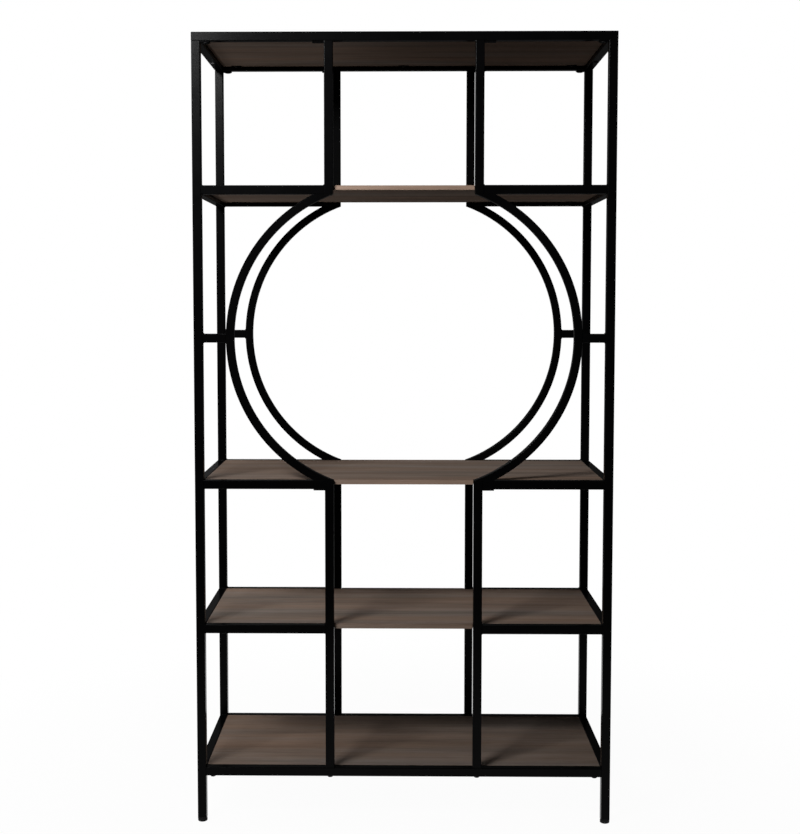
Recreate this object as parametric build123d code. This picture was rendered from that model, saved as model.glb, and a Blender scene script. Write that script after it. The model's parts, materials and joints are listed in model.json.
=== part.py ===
from build123d import *
import os

# Open bookcase: a frame of square steel tube with five fixed shelf boards.
# X runs along the width, Y from the front to the back, and Z up. The origin lies on the floor
# under the middle of the bookcase, and the front faces -Y. All lengths are in millimetres.

# Frame
WIDTH = 950.0
DEPTH = 400.0
BOTTOM_SHELF_TOP = 129.0
TIER_PITCH = 333.0
RING_PITCHES = 2
TOP_TIER = 339.0

# Square tube of the posts, rails and struts
TUBE = 20.0
TUBE_WALL = 1.2
TUBE_INNER_CORNER = 0.3

# Side bays, and the ring between the upper and the middle shelf
SIDE_BAY = 276.0
STRUT_LENGTH = 53.0
ARC_TUBE = 18.0
ARC_CHAMFER = 1.0

# Shelf boards, flush with the top of their rails
BOARD_THICKNESS = 10.0
BOARD_GAP = 1.0
BOARD_SETBACK = 10.0

# Levelling feet, and the plugs in the posts that hold their studs
FOOT_DIAMETER = 22.0
FOOT_HEIGHT = 8.0
FOOT_EDGE = 1.5
STUD_DIAMETER = 8.0
STUD_LENGTH = 26.0
STUD_CLEARANCE = 0.05
PLUG_FLANGE = 2.0
PLUG_DEPTH = 26.0
PLUG_CLEARANCE = 0.1

# Joint plates, each welded to a post and bolted to a rail
PLATE_LENGTH = 26.0
PLATE_THICKNESS = 3.0
PLATE_CLEARANCE = 0.8
PLATE_BOLT_INSET = 15.0
CORNER_PLATE_LENGTH = 21.0
CORNER_BOLT_INSET = 12.0

# Bolts of the frame: button heads under the bottom rails, low heads under the plates of the top
# corners and under the top side rails, and flat heads sunk in the other plates
BOLT_DIAMETER = 6.0
BOLT_CLEARANCE = 0.05
BOLT_REACH = 8.0
BUTTON_HEAD_DIAMETER = 12.5
BUTTON_HEAD_HEIGHT = 4.0
CORNER_HEAD_DIAMETER = 15.0
CORNER_HEAD_HEIGHT = 2.0
SIDE_HEAD_DIAMETER = 9.0
SIDE_HEAD_HEIGHT = 2.0
BOLT_HEAD_ROUND = 1.6
BOLT_SOCKET = 4.0
BOLT_SOCKET_DEPTH = 1.8
FLAT_HEAD_DIAMETER = 10.0
FLAT_HEAD_HEIGHT = 2.0
END_PLATE = 3.0
SIDE_BOLT_INSET = 110.0

# Tabs that the boards lie on, and the screws through them
TAB_LENGTH = 24.0
TAB_REACH = 12.0
TAB_INSET = 35.0
TAB_THICKNESS = 2.0
SCREW_DIAMETER = 4.0
SCREW_CLEARANCE = 0.05
SCREW_HEAD_DIAMETER = 7.0
SCREW_HEAD_HEIGHT = 1.8
SCREW_TIP_GAP = 0.5
SCREW_SKIN = 2.5

# Levels, each the top of a shelf and of its rails
LOWER_SHELF_TOP = BOTTOM_SHELF_TOP + TIER_PITCH
MIDDLE_SHELF_TOP = LOWER_SHELF_TOP + TIER_PITCH
UPPER_SHELF_TOP = MIDDLE_SHELF_TOP + RING_PITCHES * TIER_PITCH
HEIGHT = UPPER_SHELF_TOP + TOP_TIER
SHELF_TOPS = {
    "top": HEIGHT,
    "upper": UPPER_SHELF_TOP,
    "middle": MIDDLE_SHELF_TOP,
    "lower": LOWER_SHELF_TOP,
    "bottom": BOTTOM_SHELF_TOP,
}
BAY_LEVELS = ("upper", "middle", "lower")

# Centre lines and faces of the tubes, as distances from the middle planes
TUBE_CORNER = TUBE_INNER_CORNER + TUBE_WALL
POST_X = WIDTH / 2 - TUBE / 2
POST_Y = DEPTH / 2 - TUBE / 2
POST_INNER_X = WIDTH / 2 - TUBE
POST_INNER_Y = DEPTH / 2 - TUBE
INNER_POST_OUTSIDE = POST_INNER_X - SIDE_BAY
INNER_POST_X = INNER_POST_OUTSIDE - TUBE / 2
INNER_POST_INSIDE = INNER_POST_OUTSIDE - TUBE
POST_BOTTOM = FOOT_HEIGHT + PLUG_FLANGE
TOP_FRAME_BOTTOM = HEIGHT - TUBE
BOTTOM_FRAME_BOTTOM = BOTTOM_SHELF_TOP - TUBE

# Ring: its arcs stand on the middle shelf's frame and end under the upper shelf's frame, and
# their inner edges run into the inner faces of the inner posts
RING_HALF_HEIGHT = (UPPER_SHELF_TOP - TUBE - MIDDLE_SHELF_TOP) / 2
RING_Z = MIDDLE_SHELF_TOP + RING_HALF_HEIGHT
RING_REACH = POST_INNER_X - STRUT_LENGTH
RING_BULGE = RING_REACH - ARC_TUBE - INNER_POST_INSIDE
ARC_INNER_RADIUS = (RING_HALF_HEIGHT**2 + RING_BULGE**2) / (2 * RING_BULGE)
ARC_OUTER_RADIUS = ARC_INNER_RADIUS + ARC_TUBE
ARC_CENTRE_X = RING_REACH - ARC_OUTER_RADIUS

# Small parts
PLATE_WIDTH = TUBE - 2 * TUBE_WALL - 2 * PLATE_CLEARANCE
PLATE_GRIP = PLATE_THICKNESS + TUBE_WALL
TOP_BOLT_X = POST_INNER_X - CORNER_BOLT_INSET
BOTTOM_BOLT_X = POST_INNER_X - PLATE_BOLT_INSET
BAY_BOLT_X = INNER_POST_OUTSIDE + PLATE_BOLT_INSET
SIDE_BOLT_Y = POST_INNER_Y - SIDE_BOLT_INSET
SCREW_BITE = BOARD_THICKNESS - SCREW_SKIN - SCREW_TIP_GAP

SIDES = {"left": -1, "right": 1}
FACES = {"front": -1, "rear": 1}
CORNERS = [(f"{face}_{side}", sx, fy) for face, fy in FACES.items() for side, sx in SIDES.items()]


def tube_section(width, depth):
    """Band of metal that a tube shows where it is cut across."""
    outside = RectangleRounded(width, depth, TUBE_CORNER)
    inside = RectangleRounded(width - 2 * TUBE_WALL, depth - 2 * TUBE_WALL, TUBE_INNER_CORNER)
    return outside - inside


def upright(x, y, low, high):
    return Pos(x, y, low) * extrude(tube_section(TUBE, TUBE), high - low)


def rail_along_x(ends, y, top):
    start, end = sorted(ends)
    return Pos(start, y, top - TUBE / 2) * Rot(0, 90, 0) * extrude(tube_section(TUBE, TUBE), end - start)


def rail_along_y(ends, x, top):
    start, end = sorted(ends)
    return Pos(x, start, top - TUBE / 2) * Rot(-90, 0, 0) * extrude(tube_section(TUBE, TUBE), end - start)


def block(xs, ys, zs):
    """Plain block between two opposite corners."""
    x0, x1 = xs
    y0, y1 = ys
    z0, z1 = zs
    return Pos((x0 + x1) / 2, (y0 + y1) / 2, (z0 + z1) / 2) * Box(x1 - x0, y1 - y0, z1 - z0)


def rod(diameter, low, high):
    """Upright round bar on the Z axis, also used to cut a hole."""
    return Pos(0, 0, (low + high) / 2) * Cylinder(diameter / 2, high - low)


def bolt_hole(low, high):
    return rod(BOLT_DIAMETER + 2 * BOLT_CLEARANCE, low, high)


def corner_posts():
    return {
        f"{corner}_post": upright(sx * POST_X, fy * POST_Y, POST_BOTTOM, TOP_FRAME_BOTTOM)
        for corner, sx, fy in CORNERS
    }


def drilled_from_below(rail, xs, y, bottom):
    """Drill the lower wall of a rail at both ends, for the bolts of its joint plates."""
    for x in xs:
        rail -= Pos(x, y, bottom) * bolt_hole(-TUBE_WALL, 2 * TUBE_WALL)
        rail -= Pos(-x, y, bottom) * bolt_hole(-TUBE_WALL, 2 * TUBE_WALL)
    return rail


def mitre_prism(outline):
    """Prism over an outline, as high as the top frame, that gives a top rail its slanted ends."""
    return Pos(0, 0, TOP_FRAME_BOTTOM) * extrude(Polygon(*outline, align=None), TUBE, dir=(0, 0, 1))


def top_frame():
    rails = {}
    for face, fy in FACES.items():
        outline = [
            (-WIDTH / 2, fy * DEPTH / 2),
            (WIDTH / 2, fy * DEPTH / 2),
            (POST_INNER_X, fy * POST_INNER_Y),
            (-POST_INNER_X, fy * POST_INNER_Y),
        ]
        rail = rail_along_x((-WIDTH / 2, WIDTH / 2), fy * POST_Y, HEIGHT) & mitre_prism(outline)
        bolts = (TOP_BOLT_X, BAY_BOLT_X)
        rails[f"top_{face}_rail"] = drilled_from_below(rail, bolts, fy * POST_Y, TOP_FRAME_BOTTOM)
    for side, sx in SIDES.items():
        outline = [
            (sx * WIDTH / 2, -DEPTH / 2),
            (sx * WIDTH / 2, DEPTH / 2),
            (sx * POST_INNER_X, POST_INNER_Y),
            (sx * POST_INNER_X, -POST_INNER_Y),
        ]
        rail = rail_along_y((-DEPTH / 2, DEPTH / 2), sx * POST_X, HEIGHT) & mitre_prism(outline)
        hole = Pos(sx * POST_X, SIDE_BOLT_Y, TOP_FRAME_BOTTOM) * bolt_hole(-TUBE_WALL, 2 * TUBE_WALL)
        rails[f"top_{side}_rail"] = rail - hole
    return rails


def side_rails(level):
    ends = (-POST_INNER_Y, POST_INNER_Y)
    return {
        f"{level}_{side}_rail": rail_along_y(ends, sx * POST_X, SHELF_TOPS[level])
        for side, sx in SIDES.items()
    }


def bay_rails(level):
    """Short front and rear rails of one shelf, between a corner post and an inner post."""
    top = SHELF_TOPS[level]
    rails = {}
    for corner, sx, fy in CORNERS:
        rail = rail_along_x((sx * INNER_POST_OUTSIDE, sx * POST_INNER_X), fy * POST_Y, top)
        if level == "middle":
            rail = drilled_from_below(rail, (BAY_BOLT_X,), fy * POST_Y, top - TUBE)
        rails[f"{level}_{corner}_rail"] = rail
    return rails


def bottom_long_rails():
    """Front and rear rails of the bottom shelf, with a bolt up into each inner post."""
    rails = {}
    for face, fy in FACES.items():
        rail = rail_along_x((-POST_INNER_X, POST_INNER_X), fy * POST_Y, BOTTOM_SHELF_TOP)
        rail = drilled_from_below(rail, (BOTTOM_BOLT_X,), fy * POST_Y, BOTTOM_FRAME_BOTTOM)
        for sx in SIDES.values():
            rail -= Pos(sx * INNER_POST_X, fy * POST_Y, BOTTOM_FRAME_BOTTOM) * bolt_hole(-TUBE, 2 * TUBE)
        rails[f"bottom_{face}_rail"] = rail
    return rails


def inner_posts():
    posts = {}
    for corner, sx, fy in CORNERS:
        x = sx * INNER_POST_X
        y = fy * POST_Y
        posts[f"upper_{corner}_inner_post"] = upright(x, y, UPPER_SHELF_TOP - TUBE, TOP_FRAME_BOTTOM)
        end_plate = extrude(RectangleRounded(TUBE, TUBE, TUBE_CORNER), END_PLATE)
        end_plate -= bolt_hole(-END_PLATE, 2 * END_PLATE)
        tube = upright(x, y, BOTTOM_SHELF_TOP, MIDDLE_SHELF_TOP)
        posts[f"lower_{corner}_inner_post"] = tube + Pos(x, y, BOTTOM_SHELF_TOP) * end_plate
    return posts


def ring_arcs():
    """Curved tubes of the front and rear ring, cut level where they meet the shelf frames."""
    outside = chamfer(Rectangle(ARC_TUBE, TUBE).vertices(), ARC_CHAMFER)
    inside = Rectangle(ARC_TUBE - 2 * TUBE_WALL, TUBE - 2 * TUBE_WALL)
    hoop = revolve(Pos(ARC_INNER_RADIUS + ARC_TUBE / 2, 0) * (outside - inside), Axis.Y)
    right_half = block((0, 2 * ARC_OUTER_RADIUS), (-TUBE, TUBE), (-RING_HALF_HEIGHT, RING_HALF_HEIGHT))
    arc = Pos(ARC_CENTRE_X, 0, 0) * (hoop & right_half)
    turns = {1: 0, -1: 180}
    return {
        f"{corner}_arc": Pos(0, fy * POST_Y, RING_Z) * Rot(0, 0, turns[sx]) * arc
        for corner, sx, fy in CORNERS
    }


def struts():
    return {
        f"{corner}_strut": rail_along_x((sx * RING_REACH, sx * POST_INNER_X), fy * POST_Y, RING_Z + TUBE / 2)
        for corner, sx, fy in CORNERS
    }


def tab_places(level):
    """Where a shelf's tabs join its front and rear rails, at the board's underside."""
    z = SHELF_TOPS[level] - BOARD_THICKNESS
    outer = POST_INNER_X - TAB_INSET
    along_rail = [-outer, outer]
    if level in BAY_LEVELS:
        inner = INNER_POST_OUTSIDE + TAB_INSET
        along_rail += [-inner, inner]
    else:
        along_rail.append(0)
    places = [Pos(x, -POST_INNER_Y, z) for x in along_rail]
    places += [Pos(x, POST_INNER_Y, z) * Rot(0, 0, 180) for x in along_rail]
    return places


def tab():
    """Flat tab that reaches in along +Y from a rail, with its top at Z = 0."""
    plate = block((-TAB_LENGTH / 2, TAB_LENGTH / 2), (0, TAB_REACH), (-TAB_THICKNESS, 0))
    hole = rod(SCREW_DIAMETER + 2 * SCREW_CLEARANCE, -2 * TAB_THICKNESS, TAB_THICKNESS)
    return plate - Pos(0, TAB_REACH / 2, 0) * hole


def board_screw():
    head = rod(SCREW_HEAD_DIAMETER, -TAB_THICKNESS - SCREW_HEAD_HEIGHT, -TAB_THICKNESS)
    shank = rod(SCREW_DIAMETER, -TAB_THICKNESS, SCREW_BITE)
    return Pos(0, TAB_REACH / 2, 0) * (head + shank)


def screw_hole():
    """Blind hole in a board's underside."""
    hole = rod(SCREW_DIAMETER + 2 * SCREW_CLEARANCE, 0, SCREW_BITE + SCREW_TIP_GAP)
    return Pos(0, TAB_REACH / 2, 0) * hole


def shelf_board(level):
    """Board inside its rails. With no rail between the inner posts it runs out to both faces."""
    top = SHELF_TOPS[level]
    zs = (top - BOARD_THICKNESS, top)
    half_x = POST_INNER_X - BOARD_GAP
    half_y = POST_INNER_Y - BOARD_GAP
    board = block((-half_x, half_x), (-half_y, half_y), zs)
    if level in BAY_LEVELS:
        tongue_x = INNER_POST_INSIDE - BOARD_GAP
        tongue_y = DEPTH / 2 - BOARD_SETBACK
        board += block((-tongue_x, tongue_x), (-tongue_y, tongue_y), zs)
    for place in tab_places(level):
        board -= place * screw_hole()
    return board


def levelling_foot():
    pad = rod(FOOT_DIAMETER, 0, FOOT_HEIGHT)
    pad = fillet(pad.edges().filter_by(GeomType.CIRCLE), FOOT_EDGE)
    return pad + rod(STUD_DIAMETER, FOOT_HEIGHT, FOOT_HEIGHT + STUD_LENGTH)


def foot_plug():
    """Plug pressed into the end of a post, with a flange under the post and a threaded bore."""
    inside = TUBE - 2 * TUBE_WALL - 2 * PLUG_CLEARANCE
    flange = Pos(0, 0, FOOT_HEIGHT) * extrude(RectangleRounded(TUBE, TUBE, TUBE_CORNER), PLUG_FLANGE)
    body = Pos(0, 0, POST_BOTTOM) * extrude(RectangleRounded(inside, inside, TUBE_INNER_CORNER), PLUG_DEPTH)
    bore = rod(STUD_DIAMETER + 2 * STUD_CLEARANCE, 0, POST_BOTTOM + 2 * PLUG_DEPTH)
    return flange + body - bore


def flat_head(clearance):
    """Cone of a flat bolt head above Z = 0, or of its seat, which has some clearance."""
    wide = FLAT_HEAD_DIAMETER / 2 + clearance
    narrow = BOLT_DIAMETER / 2 + clearance
    return Pos(0, 0, FLAT_HEAD_HEIGHT / 2) * Cone(wide, narrow, FLAT_HEAD_HEIGHT)


def joint_plate(length, bolt_inset):
    """Flat plate that reaches along +X from a post, with its top at Z = 0."""
    plate = block((0, length), (-PLATE_WIDTH / 2, PLATE_WIDTH / 2), (-PLATE_THICKNESS, 0))
    return plate - Pos(bolt_inset, 0, 0) * bolt_hole(-2 * PLATE_THICKNESS, PLATE_THICKNESS)


def seated_plate(length, bolt_inset):
    """Joint plate with a seat for a flat bolt head in its underside."""
    return joint_plate(length, bolt_inset) - Pos(bolt_inset, 0, -PLATE_THICKNESS) * flat_head(BOLT_CLEARANCE)


def bolt_socket():
    return extrude(RegularPolygon(BOLT_SOCKET / 2, 6, major_radius=False), BOLT_SOCKET_DEPTH)


def headed_bolt(head_diameter, head_height, grip):
    """Bolt with its head below Z = 0 and its shank through the grip above."""
    head = rod(head_diameter, -head_height, 0)
    rim = head.edges().filter_by(GeomType.CIRCLE).sort_by(Axis.Z)[0]
    head = fillet(rim, min(BOLT_HEAD_ROUND, head_height / 2))
    shank = rod(BOLT_DIAMETER, 0, grip + BOLT_REACH)
    return head + shank - Pos(0, 0, -head_height) * bolt_socket()


def flat_bolt():
    """Bolt with its head flush with Z = 0 and its shank through a plate and a rail's wall above."""
    shank = rod(BOLT_DIAMETER, FLAT_HEAD_HEIGHT, PLATE_GRIP + BOLT_REACH)
    return flat_head(0) + shank - bolt_socket()


def joint_plates():
    """Plates under the top and middle rails, and inside the ends of the bottom rails."""
    inside_bottom_rail = BOTTOM_FRAME_BOTTOM + PLATE_GRIP
    middle_rail_bottom = MIDDLE_SHELF_TOP - TUBE
    to_right = Rot(0, 0, 0)
    to_left = Rot(0, 0, 180)
    outward = {1: to_right, -1: to_left}
    inward = {1: to_left, -1: to_right}
    corner_plate = joint_plate(CORNER_PLATE_LENGTH, CORNER_BOLT_INSET)
    bay_plate = seated_plate(PLATE_LENGTH, PLATE_BOLT_INSET)
    bottom_plate = joint_plate(PLATE_LENGTH, PLATE_BOLT_INSET)
    plates = []
    for _, sx, fy in CORNERS:
        y = fy * POST_Y
        plates.append(Pos(sx * POST_INNER_X, y, TOP_FRAME_BOTTOM) * inward[sx] * corner_plate)
        plates.append(Pos(sx * POST_INNER_X, y, inside_bottom_rail) * inward[sx] * bottom_plate)
        plates.append(Pos(sx * INNER_POST_OUTSIDE, y, TOP_FRAME_BOTTOM) * outward[sx] * bay_plate)
        plates.append(Pos(sx * INNER_POST_OUTSIDE, y, middle_rail_bottom) * outward[sx] * bay_plate)
    return plates


def frame_bolts():
    plate_bolt = flat_bolt()
    corner_bolt = headed_bolt(CORNER_HEAD_DIAMETER, CORNER_HEAD_HEIGHT, PLATE_GRIP)
    rail_bolt = headed_bolt(BUTTON_HEAD_DIAMETER, BUTTON_HEAD_HEIGHT, PLATE_GRIP)
    post_bolt = headed_bolt(BUTTON_HEAD_DIAMETER, BUTTON_HEAD_HEIGHT, TUBE + END_PLATE)
    side_bolt = headed_bolt(SIDE_HEAD_DIAMETER, SIDE_HEAD_HEIGHT, TUBE_WALL)
    bolts = []
    for _, sx, fy in CORNERS:
        y = fy * POST_Y
        bolts.append(Pos(sx * TOP_BOLT_X, y, TOP_FRAME_BOTTOM - PLATE_THICKNESS) * corner_bolt)
        bolts.append(Pos(sx * BAY_BOLT_X, y, TOP_FRAME_BOTTOM - PLATE_THICKNESS) * plate_bolt)
        bolts.append(Pos(sx * BAY_BOLT_X, y, MIDDLE_SHELF_TOP - TUBE - PLATE_THICKNESS) * plate_bolt)
        bolts.append(Pos(sx * BOTTOM_BOLT_X, y, BOTTOM_FRAME_BOTTOM) * rail_bolt)
        bolts.append(Pos(sx * INNER_POST_X, y, BOTTOM_FRAME_BOTTOM) * post_bolt)
    bolts += [Pos(sx * POST_X, SIDE_BOLT_Y, TOP_FRAME_BOTTOM) * side_bolt for sx in SIDES.values()]
    return bolts


def bookcase():
    nodes = {}
    nodes.update(corner_posts())
    nodes.update(top_frame())
    nodes.update(bottom_long_rails())
    nodes.update(side_rails("bottom"))
    for level in BAY_LEVELS:
        nodes.update(bay_rails(level))
        nodes.update(side_rails(level))
    nodes.update(inner_posts())
    nodes.update(ring_arcs())
    nodes.update(struts())
    for level in SHELF_TOPS:
        nodes[f"{level}_shelf"] = shelf_board(level)
    for corner, sx, fy in CORNERS:
        nodes[f"{corner}_foot"] = Pos(sx * POST_X, fy * POST_Y, 0) * levelling_foot()
    all_tab_places = [place for level in SHELF_TOPS for place in tab_places(level)]
    nodes["foot_plugs"] = Compound([Pos(sx * POST_X, fy * POST_Y, 0) * foot_plug() for _, sx, fy in CORNERS])
    nodes["joint_plates"] = Compound(joint_plates())
    nodes["frame_bolts"] = Compound(frame_bolts())
    nodes["board_tabs"] = Compound([place * tab() for place in all_tab_places])
    nodes["board_screws"] = Compound([place * board_screw() for place in all_tab_places])
    return nodes


os.makedirs("parts", exist_ok=True)
for name, shape in bookcase().items():
    export_step(shape, f"parts/{name}.step")
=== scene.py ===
import bmesh
import bpy
import json
import math
from mathutils import Matrix, Vector


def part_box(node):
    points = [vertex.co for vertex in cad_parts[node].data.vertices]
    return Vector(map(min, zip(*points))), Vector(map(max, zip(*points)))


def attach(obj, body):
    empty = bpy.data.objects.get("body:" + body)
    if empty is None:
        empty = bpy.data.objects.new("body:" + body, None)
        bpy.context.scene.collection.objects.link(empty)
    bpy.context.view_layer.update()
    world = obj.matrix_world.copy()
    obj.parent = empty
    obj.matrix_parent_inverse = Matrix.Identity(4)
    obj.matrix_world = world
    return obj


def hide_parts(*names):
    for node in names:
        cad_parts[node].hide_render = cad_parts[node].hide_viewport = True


# Looks of the open bookcase, in metres, in the part's own frame: X along the width, Y from the
# front to the back, Z up.
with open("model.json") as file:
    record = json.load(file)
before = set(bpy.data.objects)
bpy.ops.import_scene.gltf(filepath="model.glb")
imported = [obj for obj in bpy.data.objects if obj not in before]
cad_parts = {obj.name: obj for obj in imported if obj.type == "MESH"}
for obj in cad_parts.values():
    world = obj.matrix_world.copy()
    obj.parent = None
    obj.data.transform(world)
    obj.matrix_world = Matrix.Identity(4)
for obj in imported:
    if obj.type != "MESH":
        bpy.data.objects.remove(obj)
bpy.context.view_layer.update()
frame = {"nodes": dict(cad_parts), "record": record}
nodes = frame["nodes"]
scene = bpy.context.scene

MM = 0.001
X = Vector((1, 0, 0))
Y = Vector((0, 1, 0))
Z = Vector((0, 0, 1))
SIDES = {"left": -1, "right": 1}
CORNERS = {f"{face}_{side}": sx for face in ("front", "rear") for side, sx in SIDES.items()}
BAY_LEVELS = ("upper", "middle", "lower")
RAIL_LEVELS = BAY_LEVELS + ("bottom",)
LEVELS = ("top",) + RAIL_LEVELS

# Camera, with its focal length and axis in pixels of the image
IMAGE_WIDTH = 800.0
IMAGE_HEIGHT = 834.0
SENSOR = 36.0
FOCAL_PIXELS = 1307.0
AXIS_PIXEL = (381.8, 384.0)
CAMERA_PLACE = (-0.0105, -3.1461, 1.2036)
CAMERA_PITCH = 0.0640
CAMERA_YAW = -0.0133
CLIP_START = 0.05
CLIP_END = 200.0

# Finishes of the metal and plastic: gloss, base colours, and how far from the middle plane between
# front and rear a bolt can lie and still be zinc
COAT_GLOSS = 0.04
DULL_COAT_GLOSS = 0.006
FASTENER_GLOSS = 0.04
PLASTIC_GLOSS = 0.1
BOLT_BLACK = (0.004, 0.004, 0.0042)
SCREW_BLACK = (0.006, 0.006, 0.0062)
FOOT_BLACK = (0.008, 0.008, 0.0085)
PLUG_BLACK = (0.007, 0.007, 0.0075)
DARK_ZINC = (0.42, 0.43, 0.45)
BRIGHT_ZINC = (0.55, 0.56, 0.58)
SIDE_BOLT_ZONE = 150 * MM

# Laminate of the boards: its noises, stretched along the grain, and the tones that they give
LAMINATE_GLOSS = 0.012
LAMINATE_SHEEN = (0.74, 0.62)
GRAIN = {
    "broad": {"stretch": (1.2, 8.0, 8.0), "scale": 1.4, "distortion": 0.5},
    "streak": {"stretch": (1.7, 44.0, 44.0), "detail": 4.0, "roughness": 0.6, "distortion": 0.8},
    "tint": {"stretch": (1.1, 17.0, 17.0), "place": (3.1, 0.0, 0.0), "detail": 2.0, "distortion": 0.4},
    "fibre": {"stretch": (5.0, 330.0, 330.0), "detail": 4.0, "roughness": 0.6},
    "pore": {"stretch": (22.0, 900.0, 900.0), "detail": 1.0},
}
FIGURE_STRETCH = (0.30, 1.0, 1.0)
FIGURE_PLACE = (0.0, 0.37, 0.0)
FIGURE = {"Scale": 4.2, "Distortion": 9.0, "Detail": 3.0, "Detail Scale": 1.1, "Detail Roughness": 0.6}
BROAD_TONES = [(0.22, (0.108, 0.078, 0.061)), (0.5, (0.148, 0.110, 0.088)), (0.80, (0.174, 0.138, 0.117))]
TINT_TONES = [(0.34, (1.07, 0.99, 0.93)), (0.66, (0.93, 1.0, 1.05))]
STREAK_TONES = [(0.28, (0.70, 0.70, 0.70)), (0.5, (0.97, 0.97, 0.97)), (0.75, (1.12, 1.12, 1.12))]
FIGURE_TONES = [(0.0, (0.84, 0.83, 0.82)), (0.35, (1.0, 1.0, 1.0))]
FIBRE_TONES = [(0.32, (0.84, 0.83, 0.82)), (0.62, (1.06, 1.06, 1.06))]
PORE_TONES = [(0.30, (0.55, 0.53, 0.52)), (0.40, (1.0, 1.0, 1.0))]
PORE_RELIEF = [(0.3, (0.0, 0.0, 0.0)), (0.42, (1.0, 1.0, 1.0))]
TINT_SHARE = 1.0
STREAK_SHARE = 0.85
FIGURE_SHARES = (0.75, 0.15)
FIBRE_SHARE = 0.7
PORE_SHARE = 0.55
FIBRE_RELIEF_SHARE = 0.4
GRAIN_STRENGTH = 0.25
GRAIN_HEIGHT = 0.1 * MM
# Upright faces of the boards are made lighter. This is partly the edge band's own tone and partly painted
# light on the front edges, in place of a lamp from the front.
EDGE_BAND_AND_LIGHT_TONE = 1.38
EDGE_BAND_AND_LIGHT_TURN = (0.5, 0.8)

# Broken edges of the carried-over nodes
JOIN_REACH = 0.01 * MM
SHARP_ANGLE = math.radians(32)
BOARD_EDGE = 1.2 * MM
BOARD_EDGE_STEPS = 3
EDGE_STEPS = 2
ARC_EDGE = 0.35 * MM
SMALL_EDGES = {"joint_plates": 0.4 * MM, "board_tabs": 0.4 * MM, "foot_plugs": 0.3 * MM}
CREASE_ANGLE = math.radians(38)

# Weld beads in the corners between the tubes. Each begins at a share of its full size and grows
# along its run
BEAD_LEG = 2.2 * MM
BEAD_CROWN = 0.9
BEAD_PITCH = 2.4 * MM
BEAD_RIPPLE = 0.09
BEAD_STEPS = 4
BEAD_FEWEST_STEPS = 6
BEAD_PROFILE = 5
BEAD_INSET = 1.6 * MM
BEAD_END = 0.45
BEAD_TAPER = 6
ARC_FOOT_REACH = 0.1 * MM

# Levelling feet: a ribbed glide and a threaded stud. The hollow under the glide is given by shares
# of the glide's radius, and its bore by a share of the stud's radius
GLIDE_RIBS = 24
GLIDE_RIB_STEPS = 4
GLIDE_RIB_DEPTH = 0.35 * MM
GLIDE_EDGE = 1.6 * MM
GLIDE_EDGE_STEPS = 4
GLIDE_HOLLOW = 0.8 * MM
GLIDE_HOLLOW_CENTRE = 0.30
GLIDE_HOLLOW_RIM = 0.42
GLIDE_TREAD = 0.46
GLIDE_BORE = 0.9
THREAD_PITCH = 1.25 * MM
THREAD_DEPTH = 0.65 * MM
THREAD_STEPS = 6
THREAD_SIDES = 32
STUD_TIP = 1.0 * MM
STUD_RADIUS = 4.0 * MM
STUD_SINK = 0.5 * MM

# Board screws: the dome of the head is given by shares of its radius and height
SCREW_SIDES = 24
SCREW_HEAD_HEIGHT = 1.8 * MM
SCREW_SHANK_RADIUS = 2.0 * MM
SCREW_TIP = 0.2
SCREW_DOME = [(1.0, 0.0), (1.0, 0.4), (0.95, 0.68), (0.84, 0.88), (0.68, 1.0)]
CROSS_HALF_WIDTH = 0.55 * MM
CROSS_REACH = 2.0 * MM
CROSS_DEPTH = 1.1 * MM
PLACE_DIGITS = 4

# Floor: what it gives to gloss, and how white it is to the camera, by distance from the origin
FLOOR_HALF = 30.0
FLOOR_TONE = (0.55, 0.55, 0.55, 1.0)
FLOOR_GLOSS = (1.0, 0.02)
FLOOR_GLOSS_REACH = (0.7, 2.5)
FLOOR_WHITE = (0.97, 1.0)
FLOOR_WHITE_REACH = (0.5, 1.6)
WHITE = (1.0, 1.0, 1.0, 1.0)

# World: white where the camera sees it, dim and even for the light it gives, and for gloss pale on
# the left, less so at the back, and dim at the front and the right
AMBIENT = 0.03
WORLD_GLOSS = (0.02, 0.12)
WORLD_GLOSS_TURN = (0.1, 0.65)
PALE_SIDE = (-1.0, 0.35, 0.0)

# Inputs and outputs of the mix node by number, because it repeats their names
MIX_COLOURS = (6, 7)
MIX_COLOUR_RESULT = 2
MIX_NUMBERS = (2, 3)


def add_node(tree, kind, values=None, **settings):
    """Adds a shader node. Values are the inputs: a socket is linked, and anything else is set."""
    made = tree.nodes.new(kind)
    for key, value in settings.items():
        setattr(made, key, value)
    for socket, value in (values or {}).items():
        if isinstance(value, bpy.types.NodeSocket):
            tree.links.new(value, made.inputs[socket])
        else:
            made.inputs[socket].default_value = value
    return made


def maths(tree, operation, a, b=0.0):
    return add_node(tree, "ShaderNodeMath", {0: a, 1: b}, operation=operation).outputs[0]


def ramp(tree, factor, stops):
    """Colour ramp with the given (position, colour) stops."""
    made = add_node(tree, "ShaderNodeValToRGB", {"Fac": factor})
    elements = made.color_ramp.elements
    elements[0].position, elements[0].color = stops[0][0], (*stops[0][1], 1)
    elements[1].position, elements[1].color = stops[-1][0], (*stops[-1][1], 1)
    for position, colour in stops[1:-1]:
        elements.new(position).color = (*colour, 1)
    return made.outputs["Color"]


def remap(tree, value, to, start=(0.0, 1.0), interpolation="LINEAR"):
    """Carries a value from one range over to another."""
    values = {"Value": value, "From Min": start[0], "From Max": start[1], "To Min": to[0], "To Max": to[1]}
    return add_node(tree, "ShaderNodeMapRange", values, interpolation_type=interpolation).outputs["Result"]


def stretched(tree, stretch=(1.0, 1.0, 1.0), place=(0.0, 0.0, 0.0)):
    """The piece's own coordinates, scaled along each axis."""
    coordinates = add_node(tree, "ShaderNodeTexCoord").outputs["Object"]
    values = {"Vector": coordinates, "Scale": stretch, "Location": place}
    return add_node(tree, "ShaderNodeMapping", values).outputs["Vector"]


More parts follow.
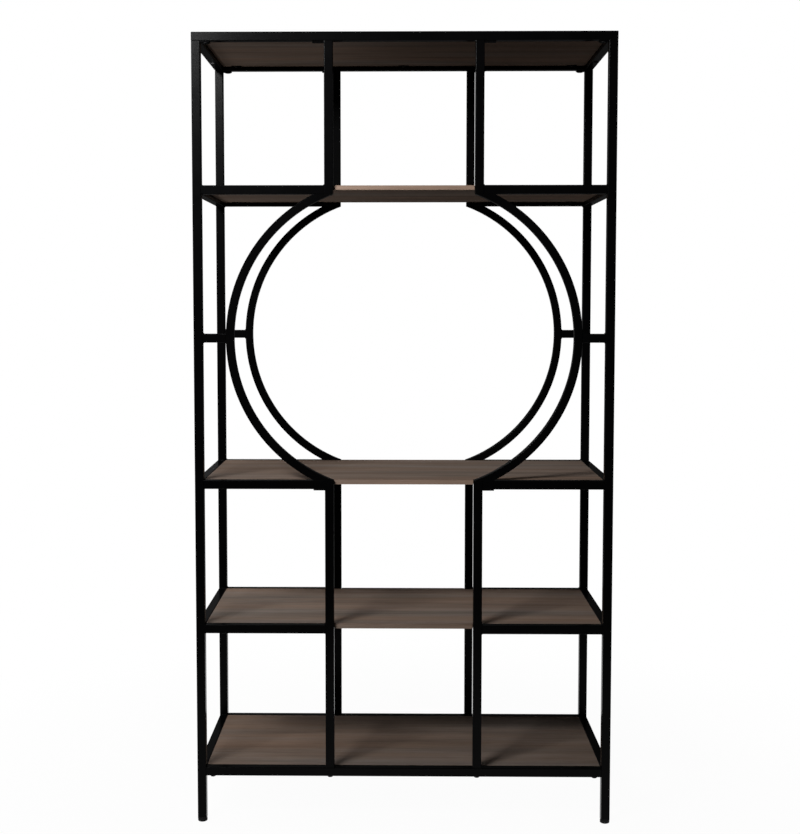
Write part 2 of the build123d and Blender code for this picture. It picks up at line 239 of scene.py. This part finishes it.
def noise(tree, vector, scale=1.0, detail=3.0, roughness=0.5, distortion=0.0):
    values = {
        "Vector": vector,
        "Scale": scale,
        "Detail": detail,
        "Roughness": roughness,
        "Distortion": distortion,
    }
    return add_node(tree, "ShaderNodeTexNoise", values).outputs["Fac"]


def mix_colour(tree, factor, a, b, blend="MIX"):
    values = {"Factor": factor, MIX_COLOURS[0]: a, MIX_COLOURS[1]: b}
    made = add_node(tree, "ShaderNodeMix", values, data_type="RGBA", blend_type=blend)
    return made.outputs[MIX_COLOUR_RESULT]


def bump(tree, height, strength, distance):
    values = {"Height": height, "Strength": strength, "Distance": distance}
    return add_node(tree, "ShaderNodeBump", values).outputs["Normal"]


def new_material(name, values):
    """A material with a Principled shader, and its node tree."""
    material = bpy.data.materials.new(name)
    material.use_nodes = True
    shader = material.node_tree.nodes["Principled BSDF"]
    for socket, value in values.items():
        shader.inputs[socket].default_value = value
    return material, material.node_tree, shader


def plain_finish(name, values, tones, tone_scale, sheen, sheen_scale, relief, strength, height):
    """A finish with fine changes of tone, sheen and relief, each from a noise of its own."""
    material, tree, shader = new_material(name, values)
    place = stretched(tree)
    links = {
        "Base Color": ramp(tree, noise(tree, place, tone_scale), tones),
        "Roughness": remap(tree, noise(tree, place, sheen_scale), sheen),
        "Normal": bump(tree, noise(tree, place, **relief), strength, height),
    }
    for socket, value in links.items():
        tree.links.new(value, shader.inputs[socket])
    return material


def powder_coat(name, gloss):
    """Satin black powder coat, with its fine orange peel and a slight change of sheen."""
    return plain_finish(
        name,
        {"Specular IOR Level": gloss},
        tones=[(0.3, (0.0008, 0.0008, 0.0009)), (0.7, (0.0014, 0.0014, 0.0015))],
        tone_scale=9.0,
        sheen=(0.21, 0.27),
        sheen_scale=40.0,
        relief={"scale": 950.0, "detail": 2.0, "roughness": 0.45},
        strength=0.25,
        height=0.12 * MM,
    )


def lighter(tone, factor):
    return tuple(factor * part for part in tone)


def moulded_plastic(name, tone):
    """Black moulded plastic with a matt, slightly mottled skin."""
    return plain_finish(
        name,
        {"Specular IOR Level": PLASTIC_GLOSS},
        tones=[(0.3, tone), (0.75, lighter(tone, 1.6))],
        tone_scale=60.0,
        sheen=(0.5, 0.64),
        sheen_scale=180.0,
        relief={"scale": 2200.0},
        strength=0.2,
        height=0.1 * MM,
    )


def fastener_finish(name, values, dark, light, sheen):
    """Fine, uneven finish of a small steel part."""
    return plain_finish(
        name,
        values,
        tones=[(0.3, dark), (0.7, light)],
        tone_scale=260.0,
        sheen=sheen,
        sheen_scale=900.0,
        relief={"scale": 3000.0},
        strength=0.12,
        height=0.05 * MM,
    )


def black_finish(name, tone):
    """Dark, matt conversion coat on a bolt or a screw."""
    values = {"Specular IOR Level": FASTENER_GLOSS}
    return fastener_finish(name, values, tone, lighter(tone, 1.7), sheen=(0.42, 0.56))


def zinc_finish(name):
    return fastener_finish(name, {"Metallic": 1.0}, DARK_ZINC, BRIGHT_ZINC, sheen=(0.25, 0.41))


def bolt_finish():
    """Black bolts, but plain zinc for the one on the left, between the front and the rear face."""
    material = black_finish("black_oxide", BOLT_BLACK)
    tree = material.node_tree
    shader = tree.nodes["Principled BSDF"]
    place = add_node(tree, "ShaderNodeTexCoord").outputs["Object"]
    parts = add_node(tree, "ShaderNodeSeparateXYZ", {0: place}).outputs
    between = maths(tree, "LESS_THAN", maths(tree, "ABSOLUTE", parts["Y"]), SIDE_BOLT_ZONE)
    left = maths(tree, "LESS_THAN", parts["X"], 0.0)
    zinc = maths(tree, "MULTIPLY", between, left)
    black = shader.inputs["Base Color"].links[0].from_socket
    tree.links.new(mix_colour(tree, zinc, black, (*BRIGHT_ZINC, 1.0)), shader.inputs["Base Color"])
    tree.links.new(zinc, shader.inputs["Metallic"])
    return material


def grain(tree, layer):
    """One noise of the laminate."""
    values = dict(GRAIN[layer])
    place = stretched(tree, values.pop("stretch"), values.pop("place", (0.0, 0.0, 0.0)))
    return noise(tree, place, **values)


def edge_band_and_painted_light(tree):
    """Tone of a board by the way its faces turn: the upright edges are lighter, partly from the band's own
    lighter tone and partly as painted light, standing in for the light that falls on the front edges.
    """
    normal = add_node(tree, "ShaderNodeTexCoord").outputs["Normal"]
    upward = add_node(tree, "ShaderNodeSeparateXYZ", {0: normal}).outputs["Z"]
    return remap(tree, maths(tree, "ABSOLUTE", upward), (EDGE_BAND_AND_LIGHT_TONE, 1.0), EDGE_BAND_AND_LIGHT_TURN)


def wood_laminate():
    """Grey-brown oak-look laminate. Its grain runs along X."""
    material, tree, shader = new_material("oak_laminate", {"Specular IOR Level": LAMINATE_GLOSS})
    broad = grain(tree, "broad")
    fibre = grain(tree, "fibre")
    pore = grain(tree, "pore")
    figure_values = {"Vector": stretched(tree, FIGURE_STRETCH, FIGURE_PLACE), **FIGURE}
    figure = add_node(tree, "ShaderNodeTexWave", figure_values, bands_direction="Y").outputs["Fac"]
    layers = [
        (TINT_SHARE, grain(tree, "tint"), TINT_TONES),
        (STREAK_SHARE, grain(tree, "streak"), STREAK_TONES),
        (remap(tree, broad, FIGURE_SHARES), figure, FIGURE_TONES),
        (FIBRE_SHARE, fibre, FIBRE_TONES),
        (PORE_SHARE, pore, PORE_TONES),
    ]
    colour = ramp(tree, broad, BROAD_TONES)
    for share, factor, tones in layers:
        colour = mix_colour(tree, share, colour, ramp(tree, factor, tones), "MULTIPLY")
    # Lighter upright edges: the band's own tone plus painted light on them
    colour = mix_colour(tree, 1.0, colour, edge_band_and_painted_light(tree), "MULTIPLY")
    height = mix_colour(tree, FIBRE_RELIEF_SHARE, ramp(tree, pore, PORE_RELIEF), fibre)
    tree.links.new(colour, shader.inputs["Base Color"])
    tree.links.new(remap(tree, fibre, LAMINATE_SHEEN), shader.inputs["Roughness"])
    tree.links.new(bump(tree, height, GRAIN_STRENGTH, GRAIN_HEIGHT), shader.inputs["Normal"])
    return material


MATERIALS = {
    "frame_steel": powder_coat("powder_coat", COAT_GLOSS),
    "shelf_wood": wood_laminate(),
    "foot_plastic": moulded_plastic("foot_nylon", FOOT_BLACK),
    "plug_plastic": moulded_plastic("plug_nylon", PLUG_BLACK),
    "bolt_steel": bolt_finish(),
    "screw_steel": black_finish("black_zinc", SCREW_BLACK),
}
PLATE_COAT = powder_coat("dull_coat", DULL_COAT_GLOSS)
STUD_ZINC = zinc_finish("stud_zinc")


def dress_nodes():
    """Gives each carried-over node its material."""
    slots = {entry["node"]: entry["material_slot"] for entry in frame["record"]["subparts"]}
    for name, piece in nodes.items():
        piece.data.materials.clear()
        piece.data.materials.append(PLATE_COAT if name == "joint_plates" else MATERIALS[slots[name]])


def soften(node, width, steps=EDGE_STEPS):
    """Breaks the sharp edges of a carried-over node."""
    modifiers = nodes[node].modifiers
    weld = modifiers.new("join", "WELD")
    weld.merge_threshold = JOIN_REACH
    edge = modifiers.new("edge", "BEVEL")
    edge.width = width
    edge.segments = steps
    edge.limit_method = "ANGLE"
    edge.angle_limit = SHARP_ANGLE
    edge.use_clamp_overlap = True
    modifiers.new("shade", "WEIGHTED_NORMAL")


dress_nodes()
for level in LEVELS:
    soften(f"{level}_shelf", BOARD_EDGE, BOARD_EDGE_STEPS)
for corner in CORNERS:
    soften(f"{corner}_arc", ARC_EDGE)
for name, width in SMALL_EDGES.items():
    soften(name, width)


def new_piece(name, mesh_maker, material, body):
    """A new mesh piece that rides on a body."""
    mesh = bpy.data.meshes.new(name)
    work = bmesh.new()
    mesh_maker(work)
    bmesh.ops.recalc_face_normals(work, faces=work.faces)
    work.to_mesh(mesh)
    work.free()
    piece = bpy.data.objects.new(name, mesh)
    scene.collection.objects.link(piece)
    mesh.materials.append(material)
    mesh.shade_smooth()
    mesh.set_sharp_from_angle(angle=CREASE_ANGLE)
    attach(piece, body)
    return piece


def skin(work, rings):
    """Joins rings of points by faces, and returns the rings of corners."""
    made = [[work.verts.new(point) for point in ring] for ring in rings]
    for low, high in zip(made, made[1:]):
        for i in range(len(low)):
            j = (i + 1) % len(low)
            work.faces.new((low[i], low[j], high[j], high[i]))
    return made


def closed_skin(work, rings):
    """A skin that is closed by a face at each end."""
    made = skin(work, rings)
    work.faces.new(made[0])
    work.faces.new(made[-1])


def middle(low, high):
    """The upright middle line of a box, at Z = 0."""
    return Vector(((low.x + high.x) / 2, (low.y + high.y) / 2, 0))


def bead(work, start, end, side_a, side_b):
    """Rippled bead along a corner line, with its legs on the two faces that meet there."""
    run = end - start
    count = max(BEAD_FEWEST_STEPS, round(run.length / BEAD_PITCH * BEAD_STEPS))
    rings = []
    for i in range(count + 1):
        along = i / count
        ripple = 1 + BEAD_RIPPLE * math.sin(math.tau * along * run.length / BEAD_PITCH)
        taper = min(1.0, BEAD_END + BEAD_TAPER * min(along, 1 - along))
        leg = BEAD_LEG * ripple * taper
        base = start + run * along
        ring = [base]
        for k in range(BEAD_PROFILE + 1):
            turn = math.pi / 2 * k / BEAD_PROFILE
            ring.append(base + (side_a * math.cos(turn) + side_b * math.sin(turn)) * leg * BEAD_CROWN)
        rings.append(ring)
    closed_skin(work, rings)


def side_rail_beads(work, level):
    """Beads above and below the ends of the two side rails of a level."""
    for side in SIDES:
        low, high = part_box(f"{level}_{side}_rail")
        for y, inwards in ((low.y, Y), (high.y, -Y)):
            for z, away in ((low.z, -Z), (high.z, Z)):
                start = Vector((low.x + BEAD_INSET, y, z))
                end = Vector((high.x - BEAD_INSET, y, z))
                bead(work, start, end, inwards, away)


def cross_beads(work, x, inwards, box, tops):
    """Beads across one end of a rail or strut that runs along X."""
    low, high = box
    for z, away in tops:
        start = Vector((x, low.y + BEAD_INSET, z))
        end = Vector((x, high.y - BEAD_INSET, z))
        bead(work, start, end, inwards, away)


def outer_and_inner(box, sx):
    """The outer and the inner end of a piece that runs along X on one side."""
    low, high = box
    return (high.x, low.x) if sx > 0 else (low.x, high.x)


def bay_rail_beads(work, level):
    """Beads at the corner posts, and at the inner posts where no plate or arc takes their place."""
    for corner, sx in CORNERS.items():
        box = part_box(f"{level}_{corner}_rail")
        outer, inner = outer_and_inner(box, sx)
        both = ((box[0].z, -Z), (box[1].z, Z))
        cross_beads(work, outer, -sx * X, box, both)
        if level == "lower":
            cross_beads(work, inner, sx * X, box, both)
        if level == "upper":
            cross_beads(work, inner, sx * X, box, both[1:])


def arc_foot(corner, bottom):
    """How far from the middle the outer edge of an arc meets the shelf below it."""
    points = [vertex.co for vertex in nodes[f"{corner}_arc"].data.vertices]
    return max(abs(point.x) for point in points if point.z < bottom + ARC_FOOT_REACH)


def ring_beads(work):
    """Beads at the feet and heads of the arcs, and at both ends of the struts."""
    for corner, sx in CORNERS.items():
        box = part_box(f"{corner}_strut")
        outer, inner = outer_and_inner(box, sx)
        both = ((box[0].z, -Z), (box[1].z, Z))
        cross_beads(work, outer, -sx * X, box, both)
        cross_beads(work, inner, sx * X, box, both)
        arc_low, arc_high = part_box(f"{corner}_arc")
        foot = sx * arc_foot(corner, arc_low.z)
        cross_beads(work, foot, sx * X, (arc_low, arc_high), ((arc_low.z, Z), (arc_high.z, -Z)))


def level_beads(level):
    def make(work):
        side_rail_beads(work, level)
        if level in BAY_LEVELS:
            bay_rail_beads(work, level)
    return make


for level in RAIL_LEVELS:
    new_piece(f"{level}_welds", level_beads(level), MATERIALS["frame_steel"], "frame")
new_piece("ring_welds", ring_beads, MATERIALS["frame_steel"], "frame")


def glide_profile(radius, bottom, top):
    """The glide's outline as (radius, height, depth of the ribs), from its hollow out to its top."""
    hollow = bottom + GLIDE_HOLLOW
    flat_radius = radius - GLIDE_EDGE
    profile = [
        (GLIDE_HOLLOW_CENTRE * radius, hollow, 0.0),
        (GLIDE_HOLLOW_RIM * radius, hollow, 0.0),
        (GLIDE_TREAD * radius, bottom, 0.0),
    ]
    shares = [k / GLIDE_EDGE_STEPS for k in range(GLIDE_EDGE_STEPS + 1)]
    for share in shares:
        out = GLIDE_EDGE * math.sin(math.pi / 2 * share)
        up = GLIDE_EDGE - GLIDE_EDGE * math.cos(math.pi / 2 * share)
        profile.append((flat_radius + out, bottom + up, share))
    for share in shares:
        out = GLIDE_EDGE * math.cos(math.pi / 2 * share)
        up = GLIDE_EDGE * math.sin(math.pi / 2 * share)
        profile.append((flat_radius + out, top - GLIDE_EDGE + up, 1 - share))
    profile.append((GLIDE_BORE * STUD_RADIUS, top, 0.0))
    return profile


def glide(work, centre, radius, bottom, top):
    """Round glide with a ribbed rim, rounded edges and a hollow under it."""
    count = GLIDE_RIBS * GLIDE_RIB_STEPS
    rings = []
    for r, z, ribbed in glide_profile(radius, bottom, top):
        ring = []
        for i in range(count):
            turn = math.tau * i / count
            dip = ribbed * GLIDE_RIB_DEPTH * (0.5 - 0.5 * math.cos(turn * GLIDE_RIBS))
            ring.append(centre + Vector(((r - dip) * math.cos(turn), (r - dip) * math.sin(turn), z)))
        rings.append(ring)
    closed_skin(work, rings)


def stud(work, centre, bottom, top):
    """Threaded stud with a pointed tip."""
    count = round((top - bottom) / THREAD_PITCH * THREAD_STEPS)
    rings = []
    for j in range(count + 1):
        z = bottom + (top - bottom) * j / count
        limit = STUD_RADIUS - max(0.0, z - (top - STUD_TIP))
        ring = []
        for i in range(THREAD_SIDES):
            share = i / THREAD_SIDES
            phase = (z / THREAD_PITCH - share) % 1.0
            r = min(STUD_RADIUS - THREAD_DEPTH * abs(2 * phase - 1), limit)
            turn = math.tau * share
            ring.append(centre + Vector((r * math.cos(turn), r * math.sin(turn), z)))
        rings.append(ring)
    closed_skin(work, rings)


def glide_maker(low, high, top):
    return lambda work: glide(work, middle(low, high), (high.x - low.x) / 2, low.z, top)


def stud_maker(low, high, bottom):
    return lambda work: stud(work, middle(low, high), bottom, high.z)


pad_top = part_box("foot_plugs")[0].z
for corner in CORNERS:
    body = f"{corner}_foot"
    low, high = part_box(body)
    pad_maker = glide_maker(low, high, pad_top)
    pad = new_piece(f"{corner}_glide", pad_maker, MATERIALS["foot_plastic"], body)
    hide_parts(body)
    new_piece(f"{corner}_stud", stud_maker(low, high, pad_top - STUD_SINK), STUD_ZINC, body)


def loose_boxes(node):
    """The box of each separate solid in a node, from its mesh."""
    work = bmesh.new()
    work.from_mesh(nodes[node].data)
    bmesh.ops.remove_doubles(work, verts=work.verts, dist=JOIN_REACH)
    left = set(work.verts)
    boxes = []
    while left:
        island = set()
        front = [left.pop()]
        while front:
            vert = front.pop()
            island.add(vert)
            near = {edge.other_vert(vert) for edge in vert.link_edges} & left
            left -= near
            front.extend(near)
        low = Vector([min(v.co[axis] for v in island) for axis in range(3)])
        high = Vector([max(v.co[axis] for v in island) for axis in range(3)])
        boxes.append((low, high))
    work.free()
    return sorted(boxes, key=lambda box: tuple(round(value, PLACE_DIGITS) for value in box[0]))


def cross_outline(centre, z):
    """The twelve corners of the cross recess, in turn: three for each arm."""
    half = CROSS_HALF_WIDTH
    reach = CROSS_REACH
    arm = [(reach, -half), (reach, half), (half, half)]
    quarter_turns = [(1, 0), (0, 1), (-1, 0), (0, -1)]
    corners = [(c * x - s * y, s * x + c * y) for c, s in quarter_turns for x, y in arm]
    return [centre + Vector((x, y, z)) for x, y in corners]


def circle(centre, radius, z):
    turns = [math.tau * i / SCREW_SIDES for i in range(SCREW_SIDES)]
    return [centre + Vector((radius * math.cos(t), radius * math.sin(t), z)) for t in turns]


def loop_edges(work, loop):
    """The edges round a closed loop of corners, made where they are missing."""
    pairs = [(loop[i], loop[(i + 1) % len(loop)]) for i in range(len(loop))]
    return [work.edges.get(pair) or work.edges.new(pair) for pair in pairs]


def screw(work, low, high):
    """Pan-head screw with a cross recess, and its head at the bottom."""
    centre = middle(low, high)
    radius = (high.x - low.x) / 2
    under = low.z + SCREW_HEAD_HEIGHT
    profile = [
        (SCREW_TIP * SCREW_SHANK_RADIUS, high.z),
        (SCREW_SHANK_RADIUS, high.z - SCREW_SHANK_RADIUS),
        (SCREW_SHANK_RADIUS, under),
    ]
    profile += [(share * radius, under - drop * SCREW_HEAD_HEIGHT) for share, drop in SCREW_DOME]
    made = skin(work, [circle(centre, r, z) for r, z in profile])
    work.faces.new(made[0])
    rim, bottom = skin(work, [cross_outline(centre, z) for z in (low.z, low.z + CROSS_DEPTH)])
    work.faces.new(bottom)
    edges = loop_edges(work, made[-1]) + loop_edges(work, rim)
    bmesh.ops.triangle_fill(work, use_beauty=True, use_dissolve=False, edges=edges)


def all_screws(work):
    for low, high in loose_boxes("board_screws"):
        screw(work, low, high)


screws = new_piece("board_screw_set", all_screws, MATERIALS["screw_steel"], "frame")
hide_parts("board_screws")


def floor_material():
    """Pale floor that keeps the shadow near the bookcase and fades to white away from it."""
    material = bpy.data.materials.new("pale_floor")
    material.use_nodes = True
    tree = material.node_tree
    tree.nodes.clear()
    out = add_node(tree, "ShaderNodeOutputMaterial")
    lit = add_node(tree, "ShaderNodeBsdfDiffuse", {"Color": FLOOR_TONE}).outputs[0]
    white = add_node(tree, "ShaderNodeEmission", {"Color": WHITE, "Strength": 1.0}).outputs[0]
    path = add_node(tree, "ShaderNodeLightPath").outputs
    place = add_node(tree, "ShaderNodeTexCoord").outputs["Object"]
    distance = add_node(tree, "ShaderNodeVectorMath", {0: place}, operation="LENGTH").outputs["Value"]
    gloss = remap(tree, distance, FLOOR_GLOSS, FLOOR_GLOSS_REACH, "SMOOTHSTEP")
    mirrored = maths(tree, "MULTIPLY", path["Is Glossy Ray"], gloss)
    seen = maths(tree, "MAXIMUM", path["Is Camera Ray"], mirrored)
    seen = maths(tree, "MAXIMUM", seen, path["Is Transmission Ray"])
    share = remap(tree, distance, FLOOR_WHITE, FLOOR_WHITE_REACH, "SMOOTHSTEP")
    share = maths(tree, "MULTIPLY", seen, share)
    mixed = add_node(tree, "ShaderNodeMixShader", {0: share, 1: lit, 2: white})
    tree.links.new(mixed.outputs[0], out.inputs["Surface"])
    return material


floor_mesh = bpy.data.meshes.new("floor")
floor_corners = [(x * FLOOR_HALF, y * FLOOR_HALF, 0) for x, y in ((-1, -1), (1, -1), (1, 1), (-1, 1))]
floor_mesh.from_pydata(floor_corners, [], [(0, 1, 2, 3)])
floor_mesh.materials.append(floor_material())
floor = bpy.data.objects.new("floor", floor_mesh)
scene.collection.objects.link(floor)


def studio_world():
    world = bpy.data.worlds.new("studio")
    world.use_nodes = True
    scene.world = world
    tree = world.node_tree
    tree.nodes.clear()
    out = add_node(tree, "ShaderNodeOutputWorld")
    path = add_node(tree, "ShaderNodeLightPath").outputs
    direction = add_node(tree, "ShaderNodeTexCoord").outputs["Generated"]
    sides = {0: direction, 1: PALE_SIDE}
    facing = add_node(tree, "ShaderNodeVectorMath", sides, operation="DOT_PRODUCT").outputs["Value"]
    gloss = remap(tree, facing, WORLD_GLOSS, WORLD_GLOSS_TURN, "SMOOTHSTEP")
    mirrored = maths(tree, "MAXIMUM", path["Is Glossy Ray"], path["Is Transmission Ray"])
    values = {0: mirrored, MIX_NUMBERS[0]: AMBIENT, MIX_NUMBERS[1]: gloss}
    strength = add_node(tree, "ShaderNodeMix", values, data_type="FLOAT").outputs[0]
    strength = maths(tree, "MAXIMUM", path["Is Camera Ray"], strength)
    background = add_node(tree, "ShaderNodeBackground", {"Color": WHITE, "Strength": strength})
    tree.links.new(background.outputs[0], out.inputs["Surface"])


def softbox(name, place, target, size, power, spread=180, highlight=False):
    """Soft lamp that faces its target, and shows in gloss only where it is to give a highlight."""
    lamp = bpy.data.lights.new(name, "AREA")
    lamp.spread = math.radians(spread)
    lamp.shape = "RECTANGLE"
    lamp.size, lamp.size_y = size
    lamp.energy = power
    piece = bpy.data.objects.new(name, lamp)
    scene.collection.objects.link(piece)
    piece.location = place
    piece.rotation_mode = "QUATERNION"
    piece.rotation_quaternion = (Vector(target) - Vector(place)).to_track_quat("-Z", "Y")
    piece.visible_camera = False
    piece.visible_glossy = highlight


def studio_lamps():
    """A key from the upper left, and weak fills from the left and from behind."""
    softbox(
        "key",
        place=(-1.22, -1.8, 2.30),
        target=(0.0, 0.0, 1.55),
        size=(0.9, 0.35),
        power=31.5,
        spread=100,
        highlight=True,
    )
    softbox("left_fill", place=(-1.2, 0.1, 0.85), target=(0.0, 0.0, 0.67), size=(0.5, 0.5), power=5.4)
    softbox("upper_left_fill", place=(-1.3, 0.2, 1.5), target=(0.0, 0.0, 0.9), size=(0.5, 0.35), power=4.4)
    softbox("back_fill", place=(-1.5, 2.2, 1.2), target=(0.0, 0.0, 0.9), size=(1.2, 1.0), power=3.0)
    softbox(
        "rear_fill",
        place=(-0.2, 1.5, 1.0),
        target=(0.0, 0.1, 0.48),
        size=(1.0, 0.2),
        power=0.25,
        spread=34,
    )


def photo_camera():
    """Camera at the photograph's place, with its lens shifted to the photograph's axis."""
    data = bpy.data.cameras.new("camera")
    data.sensor_width = SENSOR
    data.sensor_fit = "AUTO"
    data.lens = FOCAL_PIXELS / IMAGE_HEIGHT * SENSOR
    data.shift_x = (IMAGE_WIDTH / 2 - AXIS_PIXEL[0]) / IMAGE_HEIGHT
    data.shift_y = (AXIS_PIXEL[1] - IMAGE_HEIGHT / 2) / IMAGE_HEIGHT
    data.clip_start = CLIP_START
    data.clip_end = CLIP_END
    camera = bpy.data.objects.new("camera", data)
    scene.collection.objects.link(camera)
    level = math.cos(CAMERA_PITCH)
    ahead = Vector((math.sin(CAMERA_YAW) * level, math.cos(CAMERA_YAW) * level, -math.sin(CAMERA_PITCH)))
    right = Vector((math.cos(CAMERA_YAW), -math.sin(CAMERA_YAW), 0))
    up = right.cross(ahead)
    turn = Matrix((right, up, -ahead)).transposed()
    camera.matrix_world = Matrix.Translation(CAMERA_PLACE) @ turn.to_4x4()
    scene.camera = camera


studio_world()
studio_lamps()
photo_camera()
scene.view_settings.view_transform = "Standard"
